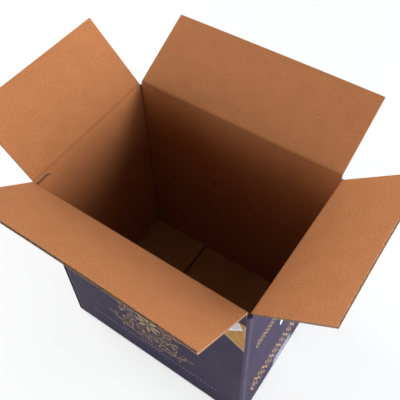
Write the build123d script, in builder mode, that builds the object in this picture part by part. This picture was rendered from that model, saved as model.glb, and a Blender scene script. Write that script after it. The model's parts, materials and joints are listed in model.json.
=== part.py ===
from build123d import *
from math import cos, radians, sin
import os

# A slotted carton of single-wall corrugated board, with its four top flaps open.
# X runs along the long walls and Z is up. The origin is on the ground under the
# middle of the carton. The front wall faces -Y and the right wall faces +X.

# Driving sizes, in millimetres
length = 300.0           # outside the short walls
width = 208.0            # outside the long walls
board = 3.0              # thickness of the board
wall_height = 320.0      # from the underside to the creases of the short walls
slot_width = 7.0         # cut between neighbouring flaps
fold_radius = 1.8        # at the middle of the board, round every closed fold
glue_tab_reach = 28.0    # from the outside corner to the tab's free edge
glue_soak = 0.25         # how far the glue soaks into the tab and into the wall
glue_squeeze = 1.0       # how far the glue runs out past the tab's fold
tab_end_gap = 1.0        # from the slots' floor down to the tab's top
tab_chamfer = 3.0
flap_gap = 1.0           # left between two flaps that meet in the middle
layer_gap = 0.2          # air between a short flap and the long flap outside it
crease_gap = 0.15        # keeps a flap's mitre off the wall's mitre
fold_overlap = 5.0       # how far the bottom folds run up into the walls
tape_width = 50.0
tape_thickness = 0.2
tape_offset = 7.0        # the tape was laid a little off the seam
tape_end_height = 37.0   # the tape's reach up each short wall
label_width = 80.0
label_height = 65.0      # at its right edge; the lower edge slants
label_left_height = 17.0
label_thickness = 0.2
label_inset = 4.0        # from the corner to the label's edge
label_drop = 26.0        # from the front crease to the label's top

# Lean of each open flap, in degrees out of the upright
lean_front = 50.5
lean_back = 63.0
lean_left = 42.5
lean_right = 49.5

# Sizes that follow
half_length = length / 2
half_width = width / 2
underside = tape_thickness
outer_fold = fold_radius + board / 2
long_flap_half = half_length - board / 2 - slot_width / 2
short_flap_half = half_width - board / 2 - slot_width / 2
flap_depth = half_width - flap_gap / 2
short_crease = underside + wall_height
long_crease = short_crease + board + layer_gap
slot_floor = short_crease - board
long_layer = underside + board / 2
short_layer = long_layer + board + layer_gap
ring_foot = short_layer - board / 2 + outer_fold


# Carton: the walls, the glue tab and the closed bottom flaps, folded from one sheet
def mitre_sections(base_plane, wall_distance, crease_height):
    """What is cut off two facing walls to leave mitres that fall 45 degrees inwards."""
    with BuildSketch(base_plane) as sections:
        for side in (-1, 1):
            outer = side * wall_distance
            inner = side * (wall_distance - board)
            with BuildLine():
                Polyline(
                    (outer, crease_height),
                    (inner, crease_height - board),
                    (inner, crease_height + board),
                    (outer, crease_height + board),
                    close=True,
                )
            make_face()
    return sections.sketch


def bottom_fold_sections(base_plane, wall_distance, layer_height):
    """Two facing bottom flaps, each with the foot of the wall that it hangs from."""
    with BuildSketch(base_plane) as sections:
        for side in (-1, 1):
            wall_middle = side * (wall_distance - board / 2)
            free_edge = side * (wall_distance - flap_depth)
            with BuildLine() as fold:
                FilletPolyline(
                    (wall_middle, ring_foot + fold_overlap),
                    (wall_middle, layer_height),
                    (free_edge, layer_height),
                    radius=fold_radius,
                )
            trace(fold.line, line_width=board)
    return sections.sketch


with BuildPart() as carton:
    left_middle = -half_length + board / 2
    front_middle = -half_width + board / 2
    tab_middle = left_middle + board
    tab_face = left_middle + board / 2
    tab_edge = -half_width + glue_tab_reach
    tab_top = slot_floor - tab_end_gap
    glue_start = front_middle + fold_radius - glue_squeeze

    # The sheet runs from its raw edge at the left front corner round to the glue tab
    with BuildSketch(Plane.XY.offset(ring_foot)):
        with BuildLine() as wall_path:
            FilletPolyline(
                (left_middle, -half_width + flap_gap / 2),
                (left_middle, -front_middle),
                (-left_middle, -front_middle),
                (-left_middle, front_middle),
                (tab_middle, front_middle),
                (tab_middle, tab_edge),
                radius=fold_radius,
            )
        trace(wall_path.line, line_width=board)
    extrude(amount=long_crease - ring_foot)

    # Glue that makes the tab and the left wall one
    with BuildSketch(Plane.XY.offset(ring_foot)):
        with Locations((tab_face, (glue_start + tab_edge) / 2)):
            Rectangle(2 * glue_soak, tab_edge - glue_start)
    extrude(amount=long_crease - ring_foot)

    # The short walls stop at their own creases, lower than those of the long walls
    with BuildSketch(Plane.XY.offset(short_crease)):
        with GridLocations(length, 0, 2, 1):
            Rectangle(2 * (half_length - long_flap_half), width)
    extrude(amount=long_crease - short_crease, mode=Mode.SUBTRACT)

    # Slots at the four corners
    with BuildSketch(Plane.XY.offset(slot_floor)):
        with GridLocations(length, width, 2, 2):
            Rectangle(2 * (half_length - long_flap_half), 2 * (half_width - short_flap_half))
    extrude(amount=long_crease - slot_floor, mode=Mode.SUBTRACT)

    # Ends of the glue tab, clear of the flaps that close over and under them
    with BuildSketch(Plane.YZ.offset(tab_face)):
        with BuildLine():
            Polyline(
                (front_middle + board / 2, long_crease),
                (front_middle + board / 2, tab_top),
                (tab_edge - tab_chamfer, tab_top),
                (tab_edge, tab_top - tab_chamfer),
                (tab_edge + board, tab_top - tab_chamfer),
                (tab_edge + board, long_crease),
                close=True,
            )
        make_face()
    extrude(amount=board + fold_radius, mode=Mode.SUBTRACT)

    # Creases at the top of each wall
    long_mitres = mitre_sections(Plane.YZ, half_width, long_crease)
    extrude(long_mitres, amount=long_flap_half, both=True, mode=Mode.SUBTRACT)
    short_mitres = mitre_sections(Plane.XZ, half_length, short_crease)
    extrude(short_mitres, amount=short_flap_half, both=True, mode=Mode.SUBTRACT)

    # Bottom flaps: the short pair lies inside the long pair
    long_folds = bottom_fold_sections(Plane.YZ, half_width, long_layer)
    extrude(long_folds, amount=long_flap_half, both=True)
    short_folds = bottom_fold_sections(Plane.XZ, half_length, short_layer)
    extrude(short_folds, amount=short_flap_half, both=True)


# Top flaps: flat panels whose root is mitred against the wall at the crease
def flap_section(outward, wall_distance, crease_height, lean):
    """The board's section across the crease, leaning out of the upright by lean."""
    upward = Vector(0, 0, 1)
    across_crease = Plane(
        origin=outward * wall_distance + upward * crease_height,
        x_dir=outward * sin(radians(lean)) + upward * cos(radians(lean)),
        z_dir=outward.cross(upward),
    )
    with BuildSketch(across_crease) as section:
        with BuildLine():
            Polyline(
                (crease_gap, 0),
                (crease_gap + board, board),
                (flap_depth, board),
                (flap_depth, 0),
                close=True,
            )
        make_face()
    return section.sketch


with BuildPart() as front_flap:
    section = flap_section(Vector(0, -1, 0), half_width, long_crease, lean_front)
    extrude(section, amount=long_flap_half, both=True)

with BuildPart() as back_flap:
    section = flap_section(Vector(0, 1, 0), half_width, long_crease, lean_back)
    extrude(section, amount=long_flap_half, both=True)

with BuildPart() as left_flap:
    section = flap_section(Vector(-1, 0, 0), half_length, short_crease, lean_left)
    extrude(section, amount=short_flap_half, both=True)

with BuildPart() as right_flap:
    section = flap_section(Vector(1, 0, 0), half_length, short_crease, lean_right)
    extrude(section, amount=short_flap_half, both=True)


# Tape: along the bottom seam, across the step at each end and up the short walls
with BuildPart() as bottom_tape:
    tape_middle = half_length + tape_thickness / 2
    tape_turn = long_flap_half + tape_thickness
    tape_landing = underside + half_length - long_flap_half
    with BuildSketch(Plane.XZ.offset(-tape_offset)):
        with BuildLine() as tape_path:
            Polyline(
                (-tape_middle, underside + tape_end_height),
                (-tape_middle, tape_landing),
                (-tape_turn, underside / 2),
                (tape_turn, underside / 2),
                (tape_middle, tape_landing),
                (tape_middle, underside + tape_end_height),
            )
        trace(tape_path.line, line_width=tape_thickness)
    extrude(amount=tape_width / 2, both=True)


# Label: a paper label pasted high on the front wall, at the right corner
with BuildPart() as side_label:
    label_right = half_length - label_inset
    label_left = label_right - label_width
    label_top = long_crease - label_drop
    with BuildSketch(Plane.XZ.offset(half_width)):
        with BuildLine():
            Polyline(
                (label_left, label_top),
                (label_right, label_top),
                (label_right, label_top - label_height),
                (label_left, label_top - label_left_height),
                close=True,
            )
        make_face()
    extrude(amount=label_thickness)


# Names and files
pieces = {
    "carton": carton,
    "front_flap": front_flap,
    "back_flap": back_flap,
    "left_flap": left_flap,
    "right_flap": right_flap,
    "bottom_tape": bottom_tape,
    "side_label": side_label,
}
os.makedirs("parts", exist_ok=True)
for name, piece in pieces.items():
    piece.part.label = name
    export_step(piece.part, f"parts/{name}.step")
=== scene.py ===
import json
from math import asin, ceil, cos, exp, pi, radians, sin, tan

import bmesh
import bpy
import numpy as np
from mathutils import Matrix, Vector


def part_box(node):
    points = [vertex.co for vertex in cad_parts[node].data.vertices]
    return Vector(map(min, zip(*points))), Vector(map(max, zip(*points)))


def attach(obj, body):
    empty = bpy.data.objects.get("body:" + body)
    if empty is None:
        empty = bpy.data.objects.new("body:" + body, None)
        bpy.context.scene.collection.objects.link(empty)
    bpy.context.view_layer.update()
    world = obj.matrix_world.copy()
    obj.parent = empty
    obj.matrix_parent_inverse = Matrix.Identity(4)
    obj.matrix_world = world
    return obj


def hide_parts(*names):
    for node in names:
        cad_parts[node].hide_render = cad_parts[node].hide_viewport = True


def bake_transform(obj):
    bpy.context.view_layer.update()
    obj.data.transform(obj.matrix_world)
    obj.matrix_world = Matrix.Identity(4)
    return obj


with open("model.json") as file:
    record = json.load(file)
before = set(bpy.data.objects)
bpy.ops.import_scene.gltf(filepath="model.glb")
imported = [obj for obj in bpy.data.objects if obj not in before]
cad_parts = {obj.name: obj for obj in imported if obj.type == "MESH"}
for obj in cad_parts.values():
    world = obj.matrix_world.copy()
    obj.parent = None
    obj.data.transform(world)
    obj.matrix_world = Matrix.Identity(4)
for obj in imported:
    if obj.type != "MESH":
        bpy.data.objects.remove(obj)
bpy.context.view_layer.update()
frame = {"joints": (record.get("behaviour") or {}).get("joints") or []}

# A slotted carton of corrugated board, printed outside and plain kraft inside, with
# its four top flaps open. Everything is in metres, in the frame of the CAD model.

mm = 0.001

# Board
board = 3.0 * mm
liner = 0.32 * mm            # each of the two flat papers
flute_paper = 0.26 * mm      # the waved paper between them
flute_pitch = 6.5 * mm
samples_per_flute = 10
pocket_depth = 1.2 * mm      # of the open flutes at a top flap's free edge
bottom_pocket_depth = 8.0 * mm
groove_depth = 1.1 * mm      # how far the waved paper stands back from a side edge
crushed_liner = 0.3          # share of each liner in an edge that is pressed flat
second_edge_start = 50.0 * mm    # on the sheet, so that two side edges don't look alike

# Folds
slot_drop = board            # from the short creases down to the floor of the slots
foot_height = 6.7 * mm       # where the walls pass into the bottom folds
corner_foot = 0.4 * mm       # the walls' ends at the corners, between the bottom folds
corner_slit = 0.4 * mm       # between a corner and the fold beside it
fold_radius = 1.8 * mm       # at the middle of the board
glue_tab_reach = 28.0 * mm
raw_edge_gap = 0.5 * mm
raw_edge_reach = 3.5 * mm    # of the print, round the raw edge into the joint
tab_end_gap = 1.0 * mm
tab_chamfer = 3.0 * mm
layer_gap = 0.2 * mm
crease_inside_radius = 2.5 * mm
crease_outside_radius = 0.8 * mm
fold_softness = 2.2 * mm     # how far a vertical fold's wear, its painted highlight outside and its painted shade inside reach
crease_fold_weight = 0.8            # of the creases against the vertical folds, for wear and painted highlight outside and painted shade inside
shaded_middle_from = 0.5              # nearness to a fold from which a crushed edge's middle is dark, as painted shade

# How far each wall bows outwards, and how far each flap curls and arches
wall_bow = {"front": 0.9 * mm, "back": 0.8 * mm, "left": 0.6 * mm, "right": 0.7 * mm}
flap_curl = {"front": 1.2 * mm, "back": 1.5 * mm, "left": 0.0, "right": 0.9 * mm}
flap_arch = {"front": -0.6 * mm, "back": 0.5 * mm, "left": 0.8 * mm, "right": -0.5 * mm}
bottom_spring = 5.0 * mm     # how far the short bottom flaps lift at their free edges

# Fineness of the meshes
bend_steps = 12              # round each crease and each bottom fold
corner_steps = 5             # round each corner of the walls
ring_step = 7.0 * mm         # along the walls
ring_rows = 40               # up the walls
skirt_rows = 3               # in the strip of wall that bends with a flap
flap_rows = 12
bottom_rows = 8
weld_distance = 0.002 * mm
smooth_angle = 35            # in degrees; sharper edges stay sharp

# Tape
tape_tooth_width = 1.6 * mm
tape_tooth_depth = 0.9 * mm
tape_cells = 60              # along the bottom
climb_cells = 8              # up each short wall

# Label: an ochre sheet with a white field and grey bars
label_left_height = 17.0 * mm
label_rim = 1.2 * mm         # pale, along the right edge
lower_rim = 2.0 * mm         # pale, along the slanting lower edge
label_cells = 16
white_inset = 2.6 * mm       # from the label's edges to the white field
white_end = 8.0 * mm         # from the right edge to the field's upper right corner
elbow_inset = 3.6 * mm       # from the right edge to the field's elbow
elbow_drop = 14.0 * mm       # from the top to the elbow
white_foot = 50.0 * mm       # from the left edge to the field's lowest corner
first_line = 5.0 * mm        # from the label's top
line_step = 5.2 * mm
bar_height = 1.4 * mm
label_bars = (               # place and length in mm, line
    (8, 22, 0), (8, 34, 1), (8, 16, 2), (34, 14, 0),
    (60, 11, 0), (60, 13.5, 1), (60, 11, 2), (58, 9, 3),
)
print_lift = 0.06 * mm       # of the ink over the board
field_lift = 0.04 * mm       # of each of the label's colours over the one below

# Figures: points along each kind of line, and how a stem rolls up
leaf_points = 13
oval_points = 97
scroll_points = 40
scroll_tightening = 2.2
scroll_slowing = 0.55        # how much shorter the last step is than the first
stem_end = 0.25              # a stem's width at its ends against its middle
stem_fullness = 0.8

# Emblem on the front and back walls: heights above the ground, places from the middle
wreath_middle = 124.0 * mm
wreath_half_width = 47.0 * mm
wreath_half_height = 54.0 * mm
wreath_ovals = ((0.60, 1.1 * mm), (0.54, 0.6 * mm))    # share of the wreath's size, stroke
wreath_spokes = 18
wreath_scrolls = (           # share of the wreath's size, heading from the oval's, length, turns, width
    (0.82, 0.0, 38 * mm, 0.95, 1.6 * mm),
    (0.80, pi, 24 * mm, 0.85, 1.3 * mm),
)
wreath_leaves = (            # share of the wreath's size, heading from the spoke's, length, width
    (1.00, 0.7, 12 * mm, 2.4 * mm),
    (0.70, -0.5, 8 * mm, 2.0 * mm),
)
wreath_bead_share = 1.12
wreath_bead = 1.8 * mm
rosette_heart = 5 * mm
rosette_petals = 8
petal_place = 14 * mm
petal_length = 19 * mm
petal_width = 7 * mm
rosette_bead_place = 21 * mm
rosette_bead = 2.6 * mm
stem_scrolls = (             # place, rise over the wreath's foot, heading, length, turns, width
    (7 * mm, -4 * mm, 0.10, 82 * mm, 0.12, 1.6 * mm),
    (26 * mm, -1 * mm, 0.35, 54 * mm, -0.75, 1.5 * mm),
    (30 * mm, 5 * mm, 0.60, 60 * mm, 0.70, 1.5 * mm),
    (50 * mm, 10 * mm, 0.40, 38 * mm, 0.85, 1.4 * mm),
)
stem_leaves = (              # place and rise in mm, heading
    (22, -2, 0.6), (34, 2, -0.3), (42, 7, 0.9), (52, 10, 0.0), (60, 15, 0.7), (69, 18, 0.3),
)
stem_leaf_length = 11 * mm
stem_leaf_width = 2.4 * mm
small_row_height = 56.0 * mm
small_row_half = 17.0 * mm
small_row_count = 7
small_lozenge = (2.1 * mm, 2.6 * mm)       # half of its width and of its height
fine_row_height = 46.0 * mm
fine_row_half = 108.0 * mm
fine_row_step = 6.0 * mm
fine_dash_half = 2.2 * mm
fine_dash_width = 1.3 * mm
fine_bead = 2.4 * mm

# Ornament on the right and left walls
chain_half = 84.0 * mm
broad_chain = (45.0 * mm, 94.0 * mm, 9, 2.2 * mm)       # bottom, top, links, stroke
narrow_chain = (199.0 * mm, 223.0 * mm, 16, 1.2 * mm)
link_heart = (0.22, 0.30)    # share of the link's half width and of its half height
link_bead = (0.24, 0.22)
link_bead_level = 0.72       # share of the link's half height
pale_leaf_height = 163.0 * mm
pale_leaf_step = 18.0 * mm
pale_leaf_length = 22 * mm
pale_leaf_width = 7.5 * mm

# Camera: at the photograph's viewing angle
camera_place = Vector((0.25793, -0.32550, 0.84566))
camera_right = Vector((0.82006, 0.57151, -0.02963))
camera_ahead = Vector((-0.37120, 0.49180, -0.78761))
camera_lens = 52.37
camera_sensor = 36.0
camera_shift = (0.0115, -0.0403)

# Lamps: azimuth 0 stands in front of the carton and 90 at its right; power in watts
lamp_distance = 1.8
lamp_size = 0.9
warm_light = (1.10, 0.97, 0.92)
plain_light = (1.06, 0.99, 1.03)
greenish_light = (0.96, 1.14, 0.98)
lamps = {
    "left": (270, 12, 35.0, warm_light),
    "right": (90, 12, 11.0, plain_light),
    "low_right": (90, 2, 19.0, plain_light),
    "right_back": (112, 12, 28.0, warm_light),
    "back": (180, 12, 9.0, warm_light),
    "front": (0, 12, 12.0, warm_light),
    "front_left": (315, 12, 8.0, warm_light),
    "high_left": (270, 40, 5.5, warm_light),
    "high_back": (135, 40, 3.2, warm_light),
    "above": (0, 90, 0.9, greenish_light),
}
world_glow = 0.02
floor_glow = 0.72            # share of plain white that the camera sees in the floor
floor_color = (0.727, 0.825, 0.870, 1)
floor_roughness = 0.9
floor_half = 4.0

# Material slots of each board mesh and of the label, in this order
KRAFT, PRINTED, EDGE = range(3)
OCHRE, WHITE, GREY, RIM = range(4)


# Walls: where each one stands, from the frame
joints = {joint["name"]: joint for joint in frame["joints"]}
carton_low, carton_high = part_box("carton")
underside = carton_low.z
half_length = carton_high.x
half_width = carton_high.y
upward = np.array((0.0, 0.0, 1.0))


class Side:
    """One wall with its top flap: its directions, and the sizes that the frame gives."""

    def __init__(self, name, outward):
        joint = joints[name + "_flap_crease"]
        low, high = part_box(name + "_flap")
        size = np.array(high - low)
        self.name = name
        self.outward = np.array(outward, float)
        self.along = np.array(joint["axis"], float)
        self.hinge = np.array(joint["pos_m"], float)
        self.distance = float(self.hinge @ self.outward)
        self.crease = float(self.hinge[2])
        self.lean = radians(joint["range_deg"][1] - 90)
        self.half_span = float(abs(size @ self.along)) / 2
        self.half_wall = half_width if abs(self.outward[0]) > 0.5 else half_length
        reach = max(abs(np.array(low) @ self.outward), abs(np.array(high) @ self.outward))
        self.depth = (reach - self.distance) / sin(self.lean)

    def place(self, along, out, height):
        """Points at these distances along the wall, out from the middle and above the ground."""
        along, out, height = np.broadcast_arrays(along, out, height)
        return along[..., None] * self.along + out[..., None] * self.outward + height[..., None] * upward

    def bow(self, along, height):
        """How far the wall stands out here because the board isn't quite flat."""
        sideways = np.clip(1 - (along / (self.half_wall - board)) ** 2, 0, 1) ** 2
        upwards = np.sin(pi * np.clip((height - foot_height) / (seam_height - foot_height), 0, 1)) ** 2
        return wall_bow[self.name] * sideways * upwards


sides = {
    "front": Side("front", (0, -1, 0)),
    "back": Side("back", (0, 1, 0)),
    "left": Side("left", (-1, 0, 0)),
    "right": Side("right", (1, 0, 0)),
}
seam_height = sides["left"].crease - slot_drop


# Meshes: grids of quads gathered into one piece
class Quads:
    """Corner points, flat sheet coordinates and a material number for every face of a mesh."""

    def __init__(self):
        self.points = []
        self.coordinates = []
        self.faces = []
        self.looks = []
        self.count = 0

    def grid(self, points, coordinates, look):
        """Rows and columns of points, joined into quads."""
        rows, columns = points.shape[:2]
        number = self.count + np.arange(rows * columns).reshape(rows, columns)
        corners = (number[:-1, :-1], number[:-1, 1:], number[1:, 1:], number[1:, :-1])
        faces = np.stack([corner.ravel() for corner in corners], axis=1)
        self.points.append(points.reshape(-1, 3))
        self.coordinates.append(np.broadcast_to(coordinates, points.shape).reshape(-1, 3))
        self.faces.append(faces)
        self.looks.append(np.broadcast_to(look, (rows - 1, columns - 1)).ravel())
        self.count += rows * columns

    def piece(self, name, materials):
        """The finished object, welded and with its faces turned outwards."""
        points = np.concatenate(self.points)
        faces = np.concatenate(self.faces)
        mesh = bpy.data.meshes.new(name)
        mesh.from_pydata(points.tolist(), [], faces.tolist())
        mesh.polygons.foreach_set("material_index", np.concatenate(self.looks).astype(np.int32))
        sheet = mesh.attributes.new("sheet", "FLOAT_VECTOR", "CORNER")
        sheet.data.foreach_set("vector", np.concatenate(self.coordinates)[faces.ravel()].ravel())
        for material in materials:
            mesh.materials.append(material)
        work = bmesh.new()
        work.from_mesh(mesh)
        bmesh.ops.remove_doubles(work, verts=work.verts, dist=weld_distance)
        bmesh.ops.recalc_face_normals(work, faces=work.faces)
        work.to_mesh(mesh)
        work.free()
        mesh.shade_smooth()
        mesh.set_sharp_from_angle(angle=radians(smooth_angle))
        made = bpy.data.objects.new(name, mesh)
        bpy.context.scene.collection.objects.link(made)
        return made


def coordinate_grid(down, across, fold):
    """Sheet coordinates: across the flutes, along them, and nearness to a fold."""
    down, across, fold = np.broadcast_arrays(down, across, fold)
    return np.stack([across, down, fold], axis=2)


def between(first, second, share):
    return first + (second - first) * share


def unit(vectors):
    return vectors / np.linalg.norm(vectors, axis=-1, keepdims=True)


def lengths_along(points):
    """The length of a line of points up to each of them."""
    steps = np.linalg.norm(np.diff(points, axis=0), axis=1)
    return np.concatenate([[0], np.cumsum(steps)])


# Board: two faces, side edges with a groove, and a cut end with open flutes
def add_side_edge(quads, inner, outer, inwards, down, start, look):
    """An edge along the flutes: both liners stand proud of the waved paper."""
    share = liner / board
    set_back = inwards * groove_depth
    first = between(inner, outer, share)
    second = between(inner, outer, 1 - share)
    across = [inner, first, first + set_back, second + set_back, second, outer]
    points = np.stack(across, axis=1)
    depth = np.array([0, share, share, 1 - share, 1 - share, 1]) * board
    quads.grid(points, coordinate_grid(down[:, None], start + depth[None, :], 0.0), look)


def add_crushed_edge(quads, inner, outer, marks):
    """A cut edge pressed flat: a pale middle between two liners in the dark print colour, the outer for its
    print and the inner as painted shade.

    At the folds the middle is dark as well, as painted shade.
    """
    # The dark inner liner, and the dark middle near folds, are painted shade.
    middle = np.where(marks[:-1, 2] > shaded_middle_from, PRINTED, EDGE)
    levels = (0.0, crushed_liner, 1 - crushed_liner, 1.0)
    for first, last, look in zip(levels, levels[1:], (PRINTED, middle, PRINTED)):
        rows = np.stack([between(inner, outer, first), between(inner, outer, last)])
        quads.grid(rows, marks, look)


def add_fluted_end(quads, inner, outer, inwards, across, start, pocket, look):
    """An end cut across the flutes: a waved paper between the liners, with open pockets."""
    share = liner / board
    half_paper = flute_paper / 2 / board
    swing = 0.5 - share - half_paper
    wave = 0.5 + swing * np.sin(2 * pi * across / flute_pitch)
    low, high = wave - half_paper, wave + half_paper
    whole = slice(None)
    open_span = slice(1, -1)
    into = inwards * pocket

    def strip(levels, span):
        """Quads between fractions of the board's thickness, each with its depth."""
        rows, marks = [], []
        for level, deep in levels:
            share_here = np.broadcast_to(level, across.shape)[span, None]
            rows.append(between(inner[span], outer[span], share_here) + into[span] * deep)
            marks.append(coordinate_grid(start + deep * pocket, across[span][None, :], 0.0)[0])
        quads.grid(np.stack(rows), np.stack(marks), look)

    strip([(0, 0), (share, 0)], whole)
    strip([(1 - share, 0), (1, 0)], whole)
    strip([(low, 0), (high, 0)], open_span)
    strip([(share, 0), (share, 1), (low, 1), (low, 0)], open_span)
    strip([(high, 0), (high, 1), (1 - share, 1), (1 - share, 0)], open_span)


def add_board(
    quads, inner, outer, down, across, fold,
    pocket=0.0, lining=KRAFT, first_edge=EDGE, end_look=EDGE,
):
    """A sheet from paired points: rows run along the flutes, columns across them.

    With a pocket depth, the last row is a cut end with open flutes in end_look.
    """
    marks = coordinate_grid(down, across[None, :], fold)
    quads.grid(inner, marks, lining)
    quads.grid(outer, marks, PRINTED)
    for column, beside, start, look in ((0, 1, 0.0, first_edge), (-1, -2, second_edge_start, EDGE)):
        inwards = unit(inner[:, beside] - inner[:, column])
        add_side_edge(quads, inner[:, column], outer[:, column], inwards, down[:, 0], start, look)
    quads.grid(np.stack([inner[0], outer[0]]), marks[0], EDGE)
    if pocket:
        inwards = unit(inner[-2] - inner[-1])
        add_fluted_end(quads, inner[-1], outer[-1], inwards, across, down[-1, 0], pocket, end_look)
    else:
        add_crushed_edge(quads, inner[-1], outer[-1], marks[-1])


def flute_columns(half_span):
    """Places across a panel: the side grooves, then even steps fine enough for the flutes."""
    inner_half = half_span - groove_depth
    count = int(ceil(2 * inner_half / flute_pitch * samples_per_flute))
    middle = np.linspace(-inner_half, inner_half, count + 1)
    return np.concatenate([[-half_span], middle, [half_span]])


def turn_between(before, after):
    """The angle between two directions in the plane, up to a right angle."""
    return asin(min(1.0, abs(before[0] * after[1] - before[1] * after[0])))


def rounded_corner(corner, before, after, radius):
    """Points of an arc between two directions in the plane, in equal turns."""
    turn = turn_between(before, after)
    side = unit(after - before * (before @ after))
    start = corner - before * radius * tan(turn / 2)
    middle = start + side * radius
    turns = np.linspace(0, turn, bend_steps + 1)[:, None]
    return middle - side * radius * np.cos(turns) + before * radius * np.sin(turns)


def folded_panel(side, crease, direction, radii, skirt_from, flat_rows, curl=0.0, arch=0.0, spring=0.0):
    """Paired points of a strip of wall, its fold and the flat panel that hangs from it.

    Spring lifts the whole free edge, curl the middle of that edge, and arch the panel's middle.
    """
    corner = np.array((side.distance, crease))
    before = np.array((0.0, 1.0 if crease > skirt_from else -1.0))
    direction = np.array(direction)
    hand = 1 if direction[0] > 0 else -1
    normal = hand * np.array((-direction[1], direction[0]))
    slant = hand * tan(turn_between(before, direction) / 2)
    inner_corner = corner + np.array((-board, 0.0)) + before * board * slant
    faces = []
    for fold_corner, radius, lift in ((inner_corner, radii[0], board), (corner, radii[1], 0.0)):
        bend = rounded_corner(fold_corner, before, direction, radius)
        skirt_start = np.array((fold_corner[0], skirt_from))
        skirt = between(skirt_start, bend[0], np.linspace(0, 1, skirt_rows + 1)[:-1, None])
        free_edge = corner + direction * side.depth + normal * lift
        flat = between(bend[-1], free_edge, np.linspace(0, 1, flat_rows + 1)[1:, None])
        faces.append(np.concatenate([skirt, bend, flat]))
    share = np.zeros(len(faces[0]))
    share[-flat_rows:] = np.linspace(0, 1, flat_rows + 1)[1:]
    fold = np.zeros(len(faces[0]))
    fold[skirt_rows:skirt_rows + bend_steps + 1] = crease_fold_weight
    across = flute_columns(side.half_span)
    sideways = across / side.half_span
    lift = share[:, None] ** 2 * (spring + curl * (1 - sideways ** 2))
    lift = lift + arch * 4 * (share * (1 - share))[:, None] * np.cos(0.5 * pi * sideways)
    grids = []
    for line in faces:
        out = line[:, :1] + normal[0] * lift
        height = line[:, 1:] + normal[1] * lift
        grids.append(side.place(across, out, height))
    down = lengths_along(faces[0])
    return grids[0], grids[1], down[:, None], across, fold[:, None]


# Carton: the ring of walls with the glue tab, and the closed bottom flaps
def ring_path():
    """Middle line of the board from its raw edge round to the glue tab's free edge."""
    left = -half_length + board / 2
    front = -half_width + board / 2
    tab = left + board
    stops = [
        (left, -half_width + raw_edge_gap),
        (left, -front),
        (-left, -front),
        (-left, front),
        (tab, front),
        (tab, -half_width + glue_tab_reach),
    ]
    owner_names = ["left", "back", "right", "front", "left"]
    places, headings, owners, folds = [], [], [], []
    position = np.array(stops[0])
    for index, owner in enumerate(owner_names):
        start, stop = np.array(stops[index]), np.array(stops[index + 1])
        heading = unit(stop - start)
        last = index == len(owner_names) - 1
        end = stop if last else stop - heading * fold_radius
        length = np.linalg.norm(end - position)
        near = 2 * fold_radius
        count = max(2, int(ceil(length / ring_step)))
        cuts = [0, groove_depth, *np.linspace(near, length - near, count), length - groove_depth, length]
        for hand in (-1, 1):
            flap_end = hand * sides[owner].half_span - position @ heading
            cuts += [flap_end, flap_end + hand * corner_slit]
        for cut in sorted(cut for cut in cuts if 0 <= cut <= length):
            to_fold = min(cut if index else length, length if last else length - cut)
            places.append(position + heading * cut)
            headings.append(heading)
            owners.append(owner)
            folds.append(exp(-(to_fold / fold_softness) ** 2))
        if last:
            break
        following = unit(np.array(stops[index + 2]) - stop)
        for turn in np.linspace(0, pi / 2, corner_steps + 1)[1:-1]:
            round_bend = following * (1 - cos(turn)) + heading * sin(turn)
            places.append(end + fold_radius * round_bend)
            headings.append(heading * cos(turn) + following * sin(turn))
            owners.append(None)
            folds.append(1.0)
        position = stop + following * fold_radius
    return np.array(places), np.array(headings), owners, np.array(folds)


def add_ring(quads):
    """The four walls and the glue tab, from the bottom folds up to the floor of the slots."""
    places, headings, owners, folds = ring_path()
    outwards = np.stack([-headings[:, 1], headings[:, 0]], axis=1)
    across = lengths_along(places)
    tab_start = max(index for index, owner in enumerate(owners) if owner is None) + 1
    top = np.full(len(places), seam_height)
    top[tab_start:] -= tab_end_gap
    top[-2:] -= tab_chamfer
    spans = np.array((sides["front"].half_span, sides["right"].half_span))
    in_corner = (np.abs(places) > spans + corner_slit / 2).all(axis=1)
    foot = np.where(in_corner, corner_foot, foot_height)
    height = between(foot, top, np.linspace(0, 1, ring_rows + 1)[:, None])
    bow = np.zeros_like(height)
    for index, owner in enumerate(owners):
        if owner:
            side = sides[owner]
            bow[:, index] = side.bow(places[index] @ side.along[:2], height[:, index])
    faces = []
    for lift in (-board / 2, board / 2):
        flat = places + outwards * (bow + lift)[:, :, None]
        faces.append(np.concatenate([flat, height[:, :, None]], axis=2))
    lining = np.where(across[:-1] < raw_edge_reach, PRINTED, KRAFT)
    down = height - foot_height
    add_board(quads, *faces, down, across, folds, lining=lining, first_edge=PRINTED)


def make_carton(materials):
    quads = Quads()
    add_ring(quads)
    radii = (fold_radius - board / 2, fold_radius + board / 2)
    for side in sides.values():
        short = side.name in ("left", "right")
        foot = underside + (board + layer_gap if short else 0.0)
        spring = bottom_spring if short else 0.0
        folded = folded_panel(side, foot, (-1.0, 0.0), radii, foot_height, bottom_rows, spring=spring)
        # The bottom flaps' cut ends take the dark print colour: painted shade for the gap beside them.
        add_board(quads, *folded, pocket=bottom_pocket_depth, end_look=PRINTED)
    piece = quads.piece("carton_board", materials)
    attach(piece, "box")
    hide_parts("carton")


# Top flaps: each is one sheet with a strip of its wall, bending at the crease
def make_flap(side, materials):
    quads = Quads()
    direction = (sin(side.lean), cos(side.lean))
    radii = (crease_inside_radius, crease_outside_radius)
    folded = folded_panel(
        side, side.crease, direction, radii, seam_height, flap_rows,
        curl=flap_curl[side.name], arch=flap_arch[side.name],
    )
    add_board(quads, *folded, pocket=pocket_depth)
    piece = quads.piece(side.name + "_flap_board", materials)
    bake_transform(piece)
    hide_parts(side.name + "_flap")


# Flat figures for the prints: strips of paired points on a wall, seen from outside
def toward(heading):
    return np.array((cos(heading), sin(heading)))


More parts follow.
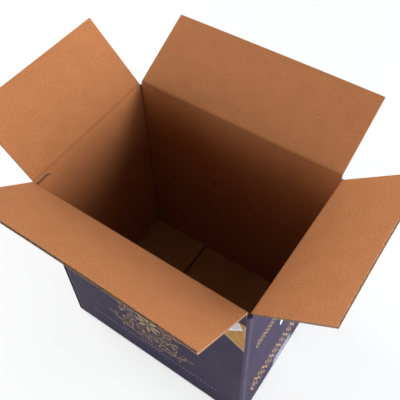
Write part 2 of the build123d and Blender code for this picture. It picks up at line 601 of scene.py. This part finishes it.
def ribbon(line, widths):
    """A strip that follows a line, with a width at each of its points."""
    line = np.array(line, float)
    heading = unit(np.gradient(line, axis=0))
    across = np.stack([-heading[:, 1], heading[:, 0]], axis=1)
    half = np.broadcast_to(widths, len(line))[:, None] / 2
    return np.stack([line - across * half, line + across * half], axis=1)


def leaf(middle, heading, size, width, fullness=1.0):
    """A pointed leaf, or a round dot where its length and width are alike."""
    share = np.linspace(0, 1, leaf_points)
    line = middle + (share - 0.5)[:, None] * size * toward(heading)
    return ribbon(line, width * np.sin(pi * share) ** fullness)


def dot(middle, size):
    return leaf(middle, 0.0, size, size, 0.5)


def lozenge(middle, half_width, half_height):
    line = [(middle[0] + step * half_width, middle[1]) for step in (-1, 0, 1)]
    return ribbon(line, np.array((0, 2 * half_height, 0)))


def lozenge_ring(middle, half_width, half_height, stroke):
    """The outline of a lozenge, mitred at its corners."""
    corners = np.array([(1, 0), (0, 1), (-1, 0), (0, -1), (1, 0)], float)
    size = np.array((half_width, half_height))
    thinner = size * (1 - stroke * np.hypot(*size) / (size[0] * size[1]))
    return np.stack([middle + corners * size, middle + corners * thinner], axis=1)


def oval(middle, half_width, half_height, stroke):
    turns = np.linspace(0, 2 * pi, oval_points)
    around = np.stack([np.cos(turns), np.sin(turns)], axis=1)
    outer, inner = (np.array((half_width, half_height)) + side * stroke / 2 for side in (1, -1))
    return np.stack([middle + around * outer, middle + around * inner], axis=1)


def scroll(start, heading, size, turns, width):
    """A stem that rolls up more and more tightly, thin at both ends."""
    share = np.linspace(0, 1, scroll_points)
    bend = heading + 2 * pi * turns * share ** scroll_tightening
    step = size / scroll_points * (1 - scroll_slowing * share)
    line = start + np.cumsum(np.stack([np.cos(bend), np.sin(bend)], axis=1) * step[:, None], axis=0)
    swelling = stem_end + (1 - stem_end) * np.sin(pi * share) ** stem_fullness
    return ribbon(line, width * swelling)


def mirrored(figures):
    """The figures with their mirror images about the middle of the wall."""
    return figures + [figure * np.array((-1.0, 1.0)) for figure in figures]


def round_figures(middle):
    """The wreath proper: scrolls, leaves and dots on spokes round two ovals."""
    size = np.array((wreath_half_width, wreath_half_height))
    figures = [oval(middle, *(size * share), stroke) for share, stroke in wreath_ovals]
    for index in range(wreath_spokes):
        turn = 2 * pi * (index + 0.5) / wreath_spokes
        spoke = toward(turn) * size
        hand = 1 if index % 2 else -1
        for share, heading, length, turns, width in wreath_scrolls:
            start = middle + spoke * share
            figures.append(scroll(start, turn + pi / 2 + heading, length, turns * hand, width))
        for share, heading, length, width in wreath_leaves:
            figures.append(leaf(middle + spoke * share, turn + heading * hand, length, width))
        figures.append(dot(middle + spoke * wreath_bead_share, wreath_bead))
    return figures


def rosette_figures(middle):
    """Petals round a dot, with a smaller dot between each pair."""
    figures = [dot(middle, rosette_heart)]
    for index in range(rosette_petals):
        turn = 2 * pi * index / rosette_petals
        between_petals = turn + pi / rosette_petals
        figures.append(leaf(middle + toward(turn) * petal_place, turn, petal_length, petal_width))
        figures.append(dot(middle + toward(between_petals) * rosette_bead_place, rosette_bead))
    return figures


def stem_figures():
    """Curling stems with leaves, from under the wreath out to both sides."""
    low = wreath_middle - wreath_half_height
    figures = []
    for place, rise, heading, length, turns, width in stem_scrolls:
        figures.append(scroll((place, low + rise), heading, length, turns, width))
    for place, rise, heading in stem_leaves:
        start = (place * mm, low + rise * mm)
        figures.append(leaf(start, heading, stem_leaf_length, stem_leaf_width))
    return mirrored(figures)


def small_row_figures():
    places = np.linspace(-small_row_half, small_row_half, small_row_count)
    return [lozenge((place, small_row_height), *small_lozenge) for place in places]


def emblem_figures():
    middle = np.array((0.0, wreath_middle))
    return round_figures(middle) + rosette_figures(middle) + stem_figures() + small_row_figures()


def fine_row_figures():
    """A bead and dash border in a pale ink, almost lost in the dark ground."""
    count = int(fine_row_half / fine_row_step)
    figures = []
    for index in range(-count, count + 1):
        place = index * fine_row_step
        if index % 2:
            line = [(place + reach * fine_dash_half, fine_row_height) for reach in (-1, 0, 1)]
            figures.append(ribbon(line, fine_dash_width))
        else:
            figures.append(dot((place, fine_row_height), fine_bead))
    return figures


def chain_figures(low, high, count, stroke):
    """A border of linked lozenges with a small solid one inside each and between each pair."""
    middle_height, half_height = (low + high) / 2, (high - low) / 2
    half_step = chain_half / count
    half_link = np.array((half_step, half_height))
    figures = []
    for index in range(count):
        middle = np.array(((2 * index + 1) * half_step - chain_half, middle_height))
        figures.append(lozenge_ring(middle, half_step, half_height, stroke))
        figures.append(lozenge(middle, *(half_link * link_heart)))
    for index in range(1, count):
        for hand in (-1, 1):
            level = middle_height + hand * half_height * link_bead_level
            figures.append(lozenge((2 * index * half_step - chain_half, level), *(half_link * link_bead)))
    return figures


def pale_leaf_figures():
    places = [(index * pale_leaf_step, pale_leaf_height) for index in (-1, 0, 1)]
    return [leaf(place, pi / 2, pale_leaf_length, pale_leaf_width) for place in places]


def make_print(side, name, figures, material):
    """The figures as thin ink that follows the bow of its wall."""
    quads = Quads()
    for figure in figures:
        along, height = -figure[:, :, 0], figure[:, :, 1]
        out = side.distance + side.bow(along, height) + print_lift
        quads.grid(side.place(along, out, height), coordinate_grid(height, -along, 0.0), 0)
    piece = quads.piece(f"{side.name}_{name}", [material])
    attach(piece, "box")


# Label: pasted paper with a slanting lower edge, in fields of colour
def label_field(quads, corners, lift, look):
    """A field that follows the front wall, from its top left corner clockwise."""
    side = sides["front"]
    top_left, top_right, bottom_right, bottom_left = (np.array(corner) for corner in corners)
    steps = np.linspace(0, 1, label_cells + 1)
    upper = between(top_left, top_right, steps[:, None])
    lower = between(bottom_left, bottom_right, steps[:, None])
    flat = np.stack([between(upper, lower, step) for step in steps])
    along, height = -flat[:, :, 0], flat[:, :, 1]
    points = side.place(along, side.distance + side.bow(along, height) + lift, height)
    quads.grid(points, coordinate_grid(height, -along, 0.0), look)
    return points


def rectangle(left, top, width, height):
    return [(left, top), (left + width, top), (left + width, top - height), (left, top - height)]


def make_label(materials):
    low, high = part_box("side_label")
    thickness = -low.y - sides["front"].distance
    left, right, top = low.x, high.x, high.z
    left_bottom = np.array((left, top - label_left_height))
    right_bottom = np.array((right, low.z))

    def low_point(from_left, rise):
        """A point this far from the left edge and this high above the slanting edge."""
        return between(left_bottom, right_bottom, from_left / (right - left)) + np.array((0, rise))

    quads = Quads()
    face = label_field(quads, [(left, top), (right, top), right_bottom, left_bottom], thickness, OCHRE)
    for edge in (face[0], face[-1], face[:, 0], face[:, -1]):
        side_strip = np.stack([edge, edge + np.array((0, thickness, 0))])
        quads.grid(side_strip, side_strip, OCHRE)
    level = thickness + field_lift
    last = right - left - label_rim
    foot_rim = [low_point(0, lower_rim), low_point(last, lower_rim), low_point(last, 0), low_point(0, 0)]
    label_field(quads, rectangle(right - label_rim, top, label_rim, top - low.z), level, RIM)
    label_field(quads, foot_rim, level, RIM)
    elbow = (right - elbow_inset, top - elbow_drop)
    corner = low_point(white_inset, white_inset)
    upper = [(left + white_inset, top - white_inset), (right - white_end, top - white_inset), elbow, corner]
    lower = [corner, elbow, low_point(white_foot, white_inset), low_point(white_foot / 2, white_inset)]
    label_field(quads, upper, level, WHITE)
    label_field(quads, lower, level, WHITE)
    for place, length, line in label_bars:
        bar = rectangle(left + place * mm, top - first_line - line * line_step, length * mm, bar_height)
        label_field(quads, bar, level + field_lift, GREY)
    piece = quads.piece("front_label", materials)
    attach(piece, "box")
    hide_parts("side_label")


# Tape: one strip under the bottom seam and up both short walls, cut on a toothed blade
def tape_climb(side, across, middle, low, high, thickness):
    """Rows of points up one short wall; the last row has the teeth of the cut."""
    teeth = (np.arange(len(across)) % 2) * tape_tooth_depth
    rows = []
    for share in np.linspace(0, 1, climb_cells + 1):
        height = low + share * (high - low) - (teeth if share == 1 else 0.0)
        height = np.broadcast_to(height, across.shape)
        out = side.distance + side.bow(np.zeros_like(across), height) + thickness
        rows.append(np.stack([side.outward[0] * out, middle + across, height], axis=1))
    return rows


def make_tape(material):
    low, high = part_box("bottom_tape")
    middle, half = (low.y + high.y) / 2, (high.y - low.y) / 2
    thickness = high.x - half_length
    turn = sides["front"].half_span
    landing = underside + half_length - turn
    half_tooth = tape_tooth_width / 2
    across = np.arange(-half, half + half_tooth / 2, half_tooth)
    left_rows = tape_climb(sides["left"], across, middle, landing, high.z, thickness)
    right_rows = tape_climb(sides["right"], across, middle, landing, high.z, thickness)
    flat_part = []
    for place in np.linspace(-turn, turn, tape_cells):
        row = [np.full_like(across, place), middle + across, np.zeros_like(across)]
        flat_part.append(np.stack(row, axis=1))
    path = np.stack(left_rows[::-1] + flat_part + right_rows)
    quads = Quads()
    down = lengths_along(path[:, 0])
    quads.grid(path, coordinate_grid(down[:, None], across, 0.0), 0)
    piece = quads.piece("seam_tape", [material])
    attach(piece, "box")
    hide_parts("bottom_tape")


# Materials: each is worked out from the coordinates of the sheet
class Look:
    """A material under construction."""

    def __init__(self, name):
        self.material = bpy.data.materials.new(name)
        self.material.use_nodes = True
        self.tree = self.material.node_tree
        self.surface = self.tree.nodes["Principled BSDF"]

    def feed(self, socket, value):
        if isinstance(value, bpy.types.NodeSocket):
            self.tree.links.new(value, socket)
        else:
            socket.default_value = value

    def node(self, kind, settings=None, **inputs):
        made = self.tree.nodes.new("ShaderNode" + kind)
        for key, value in (settings or {}).items():
            setattr(made, key, value)
        for socket, value in inputs.items():
            self.feed(made.inputs[socket.replace("_", " ")], value)
        return made

    def math(self, operation, first, second=0.0, clamp=False):
        made = self.node("Math", {"operation": operation, "use_clamp": clamp})
        self.feed(made.inputs[0], first)
        self.feed(made.inputs[1], second)
        return made.outputs[0]

    def sum(self, *terms):
        """The sum of several values, each times its weight."""
        parts = [self.math("MULTIPLY", value, weight) for value, weight in terms]
        total = parts[0]
        for part in parts[1:]:
            total = self.math("ADD", total, part)
        return total

    def mix(self, share, first, second):
        made = self.node("Mix", {"data_type": "RGBA"})
        self.feed(made.inputs[0], share)
        self.feed(made.inputs[6], first)
        self.feed(made.inputs[7], second)
        return made.outputs[2]

    def noise(self, vector, scale, detail, roughness=0.55):
        made = self.node("TexNoise", Vector=vector, Scale=scale, Detail=detail, Roughness=roughness)
        return made.outputs["Fac"]

    def scaled(self, vector, factors):
        made = self.node("VectorMath", {"operation": "MULTIPLY"})
        self.feed(made.inputs[0], vector)
        self.feed(made.inputs[1], factors)
        return made.outputs[0]

    def step(self, value, low, high, to_low=0.0, to_high=1.0):
        made = self.node("MapRange", {"interpolation_type": "SMOOTHSTEP"}, Value=value)
        ends = {"From Min": low, "From Max": high, "To Min": to_low, "To Max": to_high}
        for socket, number in ends.items():
            made.inputs[socket].default_value = number
        return made.outputs[0]

    def sheet(self):
        """The sheet's coordinates: across the flutes, along them, and nearness to a fold."""
        return self.node("Attribute", {"attribute_name": "sheet"}).outputs["Vector"]

    def flat(self):
        """Places on the flat sheet, for noise."""
        return self.scaled(self.sheet(), (1.0, 1.0, 0.0))

    def flutes_and_fold(self):
        """The wave of the flutes under the liner, and the nearness to a fold."""
        parts = self.node("SeparateXYZ", Vector=self.sheet())
        wave = self.math("SINE", self.math("MULTIPLY", parts.outputs[0], 2 * pi / flute_pitch))
        return wave, parts.outputs[2]

    def bump(self, height, strength, distance):
        made = self.node("Bump", Height=height, Strength=strength, Distance=distance)
        self.feed(self.surface.inputs["Normal"], made.outputs[0])

    def finish(self, color, roughness, specular):
        self.feed(self.surface.inputs["Base Color"], color)
        self.feed(self.surface.inputs["Roughness"], roughness)
        self.surface.inputs["Specular IOR Level"].default_value = specular
        return self.material


def kraft_look():
    """Brown liner: mottled pulp, fine fibres, a few dark specks, the flutes showing faintly, and darker
    along the folds for pressed fibres and painted shade.
    """
    plain, warm = (0.405, 0.168, 0.062, 1), (0.455, 0.196, 0.076, 1)
    dull, pale = (0.323, 0.126, 0.042, 1), (0.582, 0.294, 0.136, 1)
    dark, creased_and_shaded = (0.182, 0.067, 0.024, 1), (0.145, 0.052, 0.017, 1)
    look = Look("kraft")
    flat = look.flat()
    flutes, fold = look.flutes_and_fold()
    mottle = look.noise(flat, 45.0, detail=4.0)
    pulp = look.noise(flat, 420.0, detail=4.0, roughness=0.75)
    fibres = look.noise(look.scaled(flat, (1.0, 0.22, 1.0)), 1500.0, detail=3.0, roughness=0.6)
    specks = look.noise(flat, 750.0, detail=2.0)
    color = look.mix(look.step(mottle, 0.3, 0.7), plain, warm)
    color = look.mix(look.step(pulp, 0.38, 0.66, to_high=0.55), color, dull)
    color = look.mix(look.step(fibres, 0.42, 0.72, to_high=0.45), color, pale)
    color = look.mix(look.step(specks, 0.70, 0.78, to_high=0.6), color, dark)
    # Darker along the folds: partly pressed fibres, partly painted shade in the fold.
    color = look.mix(look.step(fold, 0.55, 1.0, to_high=0.5), color, creased_and_shaded)
    height = look.sum((flutes, 0.16), (pulp, 1.1), (fibres, 0.8))
    look.bump(height, strength=0.6, distance=0.15 * mm)
    roughness = look.step(mottle, 0.2, 0.8, to_low=0.80, to_high=0.92)
    return look.finish(color, roughness, specular=0.25)


def printed_look():
    """Dark print on the outer liner, paler along the folds for worn ink and a painted highlight, with a few
    rubbed streaks.
    """
    deep, plain = (0.0150, 0.0091, 0.0293, 1), (0.0195, 0.0129, 0.0380, 1)
    grained, rubbed = (0.0455, 0.0340, 0.0717, 1), (0.0636, 0.0536, 0.1000, 1)
    folded, worn = (0.095, 0.082, 0.136, 1), (0.236, 0.196, 0.185, 1)
    look = Look("printed_board")
    flat = look.flat()
    flutes, fold = look.flutes_and_fold()
    cloud = look.noise(flat, 22.0, detail=3.0)
    grain = look.noise(flat, 900.0, detail=3.0, roughness=0.7)
    streaks = look.noise(look.scaled(flat, (1.0, 0.12, 1.0)), 160.0, detail=3.0, roughness=0.6)
    cracks = look.noise(look.scaled(flat, (1.0, 0.3, 1.0)), 480.0, detail=4.0, roughness=0.7)
    color = look.mix(look.step(cloud, 0.3, 0.7), deep, plain)
    color = look.mix(look.step(grain, 0.50, 0.75, to_high=0.45), color, grained)
    color = look.mix(look.step(streaks, 0.60, 0.78, to_high=0.25), color, rubbed)
    # Paler along the folds: partly worn ink, partly a painted highlight on the rounded fold.
    color = look.mix(look.step(fold, 0.20, 1.0, to_high=0.35), color, folded)
    wear = look.math("MULTIPLY", look.step(fold, 0.65, 1.0), look.step(cracks, 0.60, 0.74, to_high=0.7))
    color = look.mix(wear, color, worn)
    look.bump(look.sum((flutes, 0.22), (grain, 0.45), (wear, -0.5)), strength=0.4, distance=0.10 * mm)
    smooth = look.step(cloud, 0.2, 0.8, to_low=0.46, to_high=0.56)
    return look.finish(color, look.sum((smooth, 1.0), (wear, 0.3)), specular=0.10)


def edge_look():
    """Cut board: pale, frayed fibres with darker patches."""
    plain, pale, dull = (0.350, 0.220, 0.130, 1), (0.540, 0.405, 0.285, 1), (0.262, 0.152, 0.082, 1)
    look = Look("cut_board")
    flat = look.flat()
    fibres = look.noise(flat, 1800.0, detail=4.0, roughness=0.7)
    patches = look.noise(flat, 160.0, detail=2.0)
    color = look.mix(look.step(fibres, 0.3, 0.7), plain, pale)
    color = look.mix(look.step(patches, 0.45, 0.75, to_high=0.4), color, dull)
    look.bump(fibres, strength=0.7, distance=0.15 * mm)
    return look.finish(color, roughness=0.92, specular=0.15)


def ink_look(name, thin, thick, metallic=0.0, roughness=0.5):
    """Printed ink, a little uneven."""
    look = Look(name)
    cover = look.noise(look.flat(), 700.0, detail=3.0, roughness=0.7)
    color = look.mix(look.step(cover, 0.35, 0.65), thin, thick)
    look.surface.inputs["Metallic"].default_value = metallic
    look.bump(cover, strength=0.3, distance=0.05 * mm)
    rough = look.step(cover, 0.3, 0.7, to_low=roughness + 0.08, to_high=roughness)
    return look.finish(color, rough, specular=0.3)


def paper_look(name, dark, light):
    """Coated label paper with a faint cloud and fibres."""
    look = Look(name)
    flat = look.flat()
    cloud = look.noise(flat, 120.0, detail=3.0)
    grain = look.noise(flat, 1300.0, detail=2.0)
    color = look.mix(look.step(cloud, 0.3, 0.7), dark, light)
    look.bump(grain, strength=0.3, distance=0.04 * mm)
    return look.finish(color, look.step(grain, 0.3, 0.7, to_low=0.42, to_high=0.52), specular=0.2)


def tape_look():
    """Clear packing tape over the print: milky, glossy, with rubbed patches and trapped air."""
    clear, milky = (0.309, 0.320, 0.467, 1), (0.418, 0.443, 0.598, 1)
    look = Look("clear_tape")
    flat = look.flat()
    haze = look.noise(flat, 60.0, detail=4.0, roughness=0.6)
    bubbles = look.noise(flat, 500.0, detail=2.0)
    ripple = look.noise(look.scaled(flat, (0.2, 1.0, 1.0)), 260.0, detail=2.0)
    color = look.mix(look.step(haze, 0.3, 0.7), clear, milky)
    film = look.step(haze, 0.3, 0.7, to_low=0.42, to_high=0.60)
    trapped_air = look.step(bubbles, 0.60, 0.72, to_high=0.22)
    look.feed(look.surface.inputs["Alpha"], look.math("ADD", film, trapped_air, clamp=True))
    look.bump(look.sum((ripple, 1.0), (bubbles, 0.4)), strength=0.35, distance=0.10 * mm)
    return look.finish(color, look.step(haze, 0.2, 0.8, to_low=0.16, to_high=0.30), specular=0.5)


# Stage: floor, lamps, world and camera
def make_floor():
    """A pale floor that takes the carton's shadow.

    To the camera it glows nearly white, but not under the carton.
    """
    signs = ((-1, -1), (1, -1), (1, 1), (-1, 1))
    corners = [(along * floor_half, across * floor_half, 0) for along, across in signs]
    mesh = bpy.data.meshes.new("floor")
    mesh.from_pydata(corners, [], [(0, 1, 2, 3)])
    floor = bpy.data.objects.new("floor", mesh)
    bpy.context.scene.collection.objects.link(floor)
    look = Look("floor")
    look.surface.inputs["Base Color"].default_value = floor_color
    look.surface.inputs["Roughness"].default_value = floor_roughness
    seen = look.node("LightPath").outputs["Is Camera Ray"]
    place = look.node("SeparateXYZ", Vector=look.node("NewGeometry").outputs["Position"])
    beside = look.math("GREATER_THAN", look.math("ABSOLUTE", place.outputs[0]), half_length)
    before = look.math("GREATER_THAN", look.math("ABSOLUTE", place.outputs[1]), half_width)
    uncovered = look.math("MULTIPLY", seen, look.math("MAXIMUM", beside, before))
    glow = look.node("Emission", Color=(1, 1, 1, 1), Strength=1.0)
    mixed = look.node("MixShader")
    look.feed(mixed.inputs[0], look.math("MULTIPLY", uncovered, floor_glow))
    look.feed(mixed.inputs[1], look.surface.outputs[0])
    look.feed(mixed.inputs[2], glow.outputs[0])
    look.feed(look.tree.nodes["Material Output"].inputs["Surface"], mixed.outputs[0])
    mesh.materials.append(look.material)


def make_lamp(name, azimuth, elevation, power, color):
    """A soft lamp that faces the middle of the carton's mouth."""
    data = bpy.data.lights.new(name, "AREA")
    data.shape = "DISK"
    data.size = lamp_size
    data.energy = power
    data.color = color
    lamp = bpy.data.objects.new(name, data)
    bpy.context.scene.collection.objects.link(lamp)
    turn, rise = radians(azimuth), radians(elevation)
    back = Vector((sin(turn) * cos(rise), -cos(turn) * cos(rise), sin(rise)))
    middle = Vector((0, 0, sides["left"].crease))
    lamp.location = middle + back * lamp_distance
    lamp.rotation_mode = "QUATERNION"
    lamp.rotation_quaternion = back.to_track_quat("Z", "Y")


def make_world():
    """White to the camera and in reflections, and only a faint light on the carton."""
    world = bpy.data.worlds.new("world")
    bpy.context.scene.world = world
    world.use_nodes = True
    tree = world.node_tree
    path = tree.nodes.new("ShaderNodeLightPath")
    shown = path.outputs["Is Camera Ray"]
    for kind in ("Is Glossy Ray", "Is Transmission Ray"):
        either = tree.nodes.new("ShaderNodeMath")
        either.operation = "MAXIMUM"
        tree.links.new(shown, either.inputs[0])
        tree.links.new(path.outputs[kind], either.inputs[1])
        shown = either.outputs[0]
    strength = tree.nodes.new("ShaderNodeMapRange")
    strength.inputs["To Min"].default_value = world_glow
    strength.inputs["To Max"].default_value = 1.0
    tree.links.new(shown, strength.inputs["Value"])
    background = tree.nodes["Background"]
    background.inputs["Color"].default_value = (1, 1, 1, 1)
    tree.links.new(strength.outputs[0], background.inputs["Strength"])


def make_camera():
    data = bpy.data.cameras.new("camera")
    data.lens = camera_lens
    data.sensor_width = camera_sensor
    data.shift_x, data.shift_y = camera_shift
    camera = bpy.data.objects.new("camera", data)
    bpy.context.scene.collection.objects.link(camera)
    ahead = camera_ahead.normalized()
    right = camera_right.normalized()
    above = right.cross(ahead)
    turn = Matrix((right, above, -ahead)).transposed()
    camera.matrix_world = Matrix.Translation(camera_place) @ turn.to_4x4()
    bpy.context.scene.camera = camera


# Carton and flaps
board_looks = [kraft_look(), printed_look(), edge_look()]
make_carton(board_looks)
for side in sides.values():
    make_flap(side, board_looks)

# Prints, label and tape
gold = ink_look("gold_ink", (0.218, 0.139, 0.054, 1), (0.382, 0.268, 0.120, 1), metallic=0.2, roughness=0.42)
lilac = ink_look("lilac_ink", (0.200, 0.206, 0.293, 1), (0.327, 0.340, 0.457, 1))
white = ink_look("white_ink", (0.545, 0.598, 0.652, 1), (0.673, 0.742, 0.804, 1))
for side in (sides["front"], sides["back"]):
    make_print(side, "emblem", emblem_figures(), gold)
    make_print(side, "fine_border", fine_row_figures(), lilac)
for side in (sides["right"], sides["left"]):
    make_print(side, "chains", chain_figures(*broad_chain) + chain_figures(*narrow_chain), gold)
    make_print(side, "pale_leaves", pale_leaf_figures(), white)
make_label([
    paper_look("label_ochre", (0.290, 0.140, 0.014, 1), (0.385, 0.195, 0.024, 1)),
    paper_look("label_white", (0.564, 0.580, 0.652, 1), (0.655, 0.680, 0.750, 1)),
    paper_look("label_grey", (0.091, 0.078, 0.110, 1), (0.145, 0.125, 0.165, 1)),
    paper_look("label_rim", (0.270, 0.215, 0.190, 1), (0.340, 0.275, 0.240, 1)),
])
make_tape(tape_look())

# Stage: floor, world, lamps and camera
make_floor()
make_world()
for name, settings in lamps.items():
    make_lamp(name + "_lamp", *settings)
make_camera()
bpy.context.scene.view_settings.view_transform = "Standard"
